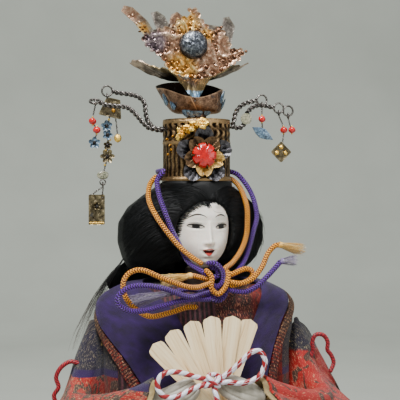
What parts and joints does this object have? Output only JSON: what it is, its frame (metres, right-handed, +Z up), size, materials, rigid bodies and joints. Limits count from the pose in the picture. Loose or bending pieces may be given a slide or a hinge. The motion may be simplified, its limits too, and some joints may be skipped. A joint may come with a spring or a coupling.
{
  "type": "hina doll",
  "caption": "Seated court-lady festival doll in layered robes, with a tall metal crown, hanging crown pendants, tied chin cords and an open slat fan.",
  "frame": {"origin": "on the floor, at the middle of the neck axis, on the seat board's underside", "axes": "+Z up, the doll faces -Y, +X to the viewer's right"},
  "size_m": [0.2556, 0.2538, 0.3344],
  "materials": {
    "seat_board": "dark stained wood",
    "straw_torso": "bound straw",
    "leg_padding": "bound straw",
    "arm_wire_left": "straw and paper wound on wire",
    "arm_wire_right": "straw and paper wound on wire",
    "neck_post": "plain turned wood",
    "robe_body": "indigo brocade",
    "chest_panel": "red-brown gold brocade",
    "violet_lapels": "violet silk",
    "lapel_border": "red-gold woven border",
    "lap_hakama": "crimson silk",
    "hem_lower": "white silk",
    "hem_upper": "violet silk",
    "train": "red brocade",
    "sleeve_left": "red and indigo brocade",
    "sleeve_right": "red and indigo brocade",
    "sleeve_lining_left": "olive-gold silk",
    "sleeve_lining_right": "olive-gold silk",
    "hand_left": "satin shell-white gofun",
    "hand_right": "satin shell-white gofun",
    "head": "satin shell-white gofun",
    "hair": "combed black silk hair",
    "hair_fall": "combed black silk hair",
    "fan_slat_1": "pale split cypress",
    "fan_slat_2": "pale split cypress",
    "fan_slat_3": "pale split cypress",
    "fan_slat_4": "pale split cypress",
    "fan_slat_5": "pale split cypress",
    "fan_slat_6": "pale split cypress",
    "fan_rivet": "worn brass",
    "fan_bow": "red and white silk cord",
    "sleeve_cord_left": "red silk cord",
    "sleeve_cord_right": "red silk cord",
    "crown_band": "tarnished gilt brass",
    "crown_cup": "tarnished gilt brass",
    "crown_dish": "tarnished gilt brass",
    "crown_flower_outer": "tarnished gilt brass",
    "crown_back_plate": "tarnished gilt brass",
    "crown_flower_inner": "worn gilt copper",
    "crown_spray": "worn gilt copper",
    "crown_front_plate": "worn gilt copper",
    "crown_boss": "hammered silver",
    "crown_coral": "red glass imitating coral",
    "pendant_left_coral": "red glass imitating coral",
    "pendant_right_coral": "red glass imitating coral",
    "pendant_right_outer": "red glass imitating coral",
    "branch_left": "tarnished brass wire and sheet",
    "branch_right": "tarnished brass wire and sheet",
    "pendant_left_upper": "tarnished brass wire and sheet",
    "pendant_left_lower": "tarnished brass wire and sheet",
    "pendant_right_plaque": "tarnished brass wire and sheet",
    "chin_cord_orange": "orange-gold braided silk",
    "bow_loop_orange": "orange-gold braided silk",
    "tail_right_orange": "orange-gold braided silk",
    "tail_left_orange": "orange-gold braided silk",
    "chin_cord_purple": "purple braided silk",
    "cord_knot": "purple braided silk",
    "bow_loop_purple": "purple braided silk",
    "tail_right_purple": "purple braided silk",
    "tail_left_purple": "purple braided silk"
  },
  "bodies": {
    "doll_body": {"seat_board": "seat_board", "straw_torso": "straw_torso", "leg_padding": "leg_padding", "arm_wire_left": "arm_wire_left", "arm_wire_right": "arm_wire_right", "robe_body": "robe_body", "chest_panel": "chest_panel", "violet_lapels": "violet_lapels", "lapel_border": "lapel_border", "lap_hakama": "lap_hakama", "hem_lower": "hem_lower", "hem_upper": "hem_upper", "train": "train", "sleeve_left": "sleeve_left", "sleeve_right": "sleeve_right", "sleeve_lining_left": "sleeve_lining_left", "sleeve_lining_right": "sleeve_lining_right", "hand_left": "hand_left", "hand_right": "hand_right", "fan_slat_6": "fan_slat_6", "fan_rivet": "fan_rivet", "fan_bow": "fan_bow", "sleeve_cord_left": "sleeve_cord_left", "sleeve_cord_right": "sleeve_cord_right"},
    "neck_post": {"neck_post": "neck_post"},
    "head": {"head": "head", "hair": "hair", "hair_fall": "hair_fall", "crown_band": "crown_band", "crown_flower_outer": "crown_flower_outer", "crown_flower_inner": "crown_flower_inner", "crown_coral": "crown_coral", "crown_spray": "crown_spray", "crown_cup": "crown_cup", "crown_dish": "crown_dish", "crown_back_plate": "crown_back_plate", "crown_front_plate": "crown_front_plate", "crown_boss": "crown_boss", "branch_left": "branch_left", "branch_right": "branch_right", "chin_cord_orange": "chin_cord_orange", "chin_cord_purple": "chin_cord_purple", "cord_knot": "cord_knot", "bow_loop_purple": "bow_loop_purple", "bow_loop_orange": "bow_loop_orange", "tail_right_orange": "tail_right_orange", "tail_right_purple": "tail_right_purple", "tail_left_orange": "tail_left_orange", "tail_left_purple": "tail_left_purple"},
    "pendant_left_upper": {"pendant_left_upper": "pendant_left_upper"},
    "pendant_left_lower": {"pendant_left_lower": "pendant_left_lower"},
    "pendant_left_coral": {"pendant_left_coral": "pendant_left_coral"},
    "pendant_right_coral": {"pendant_right_coral": "pendant_right_coral"},
    "pendant_right_plaque": {"pendant_right_plaque": "pendant_right_plaque"},
    "pendant_right_outer": {"pendant_right_outer": "pendant_right_outer"},
    "fan_slat_1": {"fan_slat_1": "fan_slat_1"},
    "fan_slat_2": {"fan_slat_2": "fan_slat_2"},
    "fan_slat_3": {"fan_slat_3": "fan_slat_3"},
    "fan_slat_4": {"fan_slat_4": "fan_slat_4"},
    "fan_slat_5": {"fan_slat_5": "fan_slat_5"}
  },
  "joints": [
    {"name": "neck_lift", "type": "slide", "parent": "doll_body", "child": "neck_post", "axis": [0, 0, 1], "range_m": [0, 0.04]},
    {"name": "head_turn", "type": "hinge", "parent": "neck_post", "child": "head", "pos_m": [0, 0, 0.17], "axis": [0, 0, 1], "range_deg": [-24, 6]},
    {"name": "swing_left_upper", "type": "hinge", "parent": "head", "child": "pendant_left_upper", "pos_m": [-0.05367, -0.01072, 0.2806], "axis": [0.9962, 0.0872, 0], "range_deg": [-25, 25]},
    {"name": "swing_left_lower", "type": "hinge", "parent": "pendant_left_upper", "child": "pendant_left_lower", "pos_m": [-0.05626, -0.01095, 0.2289], "axis": [0.9962, 0.0872, 0], "range_deg": [-25, 25]},
    {"name": "swing_left_coral", "type": "hinge", "parent": "head", "child": "pendant_left_coral", "pos_m": [-0.06068, -0.02008, 0.27613], "axis": [0.9962, 0.0872, 0], "range_deg": [-25, 25]},
    {"name": "swing_right_coral", "type": "hinge", "parent": "head", "child": "pendant_right_coral", "pos_m": [0.03937, -0.00258, 0.2772], "axis": [0.9962, 0.0872, 0], "range_deg": [-25, 25]},
    {"name": "swing_right_plaque", "type": "hinge", "parent": "head", "child": "pendant_right_plaque", "pos_m": [0.05078, 0.00244, 0.2728], "axis": [0.9962, 0.0872, 0], "range_deg": [-25, 25]},
    {"name": "swing_right_outer", "type": "hinge", "parent": "head", "child": "pendant_right_outer", "pos_m": [0.05666, 0.00295, 0.2712], "axis": [0.9962, 0.0872, 0], "range_deg": [-25, 25]},
    {"name": "fan_fold_1", "type": "hinge", "parent": "doll_body", "child": "fan_slat_1", "pos_m": [0.0081, -0.0474, 0.0993], "axis": [0, 1, 0], "range_deg": [0, 59.5]},
    {"name": "fan_fold_2", "type": "hinge", "parent": "doll_body", "child": "fan_slat_2", "pos_m": [0.0081, -0.0474, 0.0993], "axis": [0, 1, 0], "range_deg": [0, 47.5]},
    {"name": "fan_fold_3", "type": "hinge", "parent": "doll_body", "child": "fan_slat_3", "pos_m": [0.0081, -0.0474, 0.0993], "axis": [0, 1, 0], "range_deg": [0, 35]},
    {"name": "fan_fold_4", "type": "hinge", "parent": "doll_body", "child": "fan_slat_4", "pos_m": [0.0081, -0.0474, 0.0993], "axis": [0, 1, 0], "range_deg": [0, 23.1]},
    {"name": "fan_fold_5", "type": "hinge", "parent": "doll_body", "child": "fan_slat_5", "pos_m": [0.0081, -0.0474, 0.0993], "axis": [0, 1, 0], "range_deg": [0, 10.5]}
  ],
  "couplings": [
    {"joint": "fan_fold_2", "follows": "fan_fold_1", "ratio": 0.798},
    {"joint": "fan_fold_3", "follows": "fan_fold_1", "ratio": 0.588},
    {"joint": "fan_fold_4", "follows": "fan_fold_1", "ratio": 0.387},
    {"joint": "fan_fold_5", "follows": "fan_fold_1", "ratio": 0.176}
  ]
}
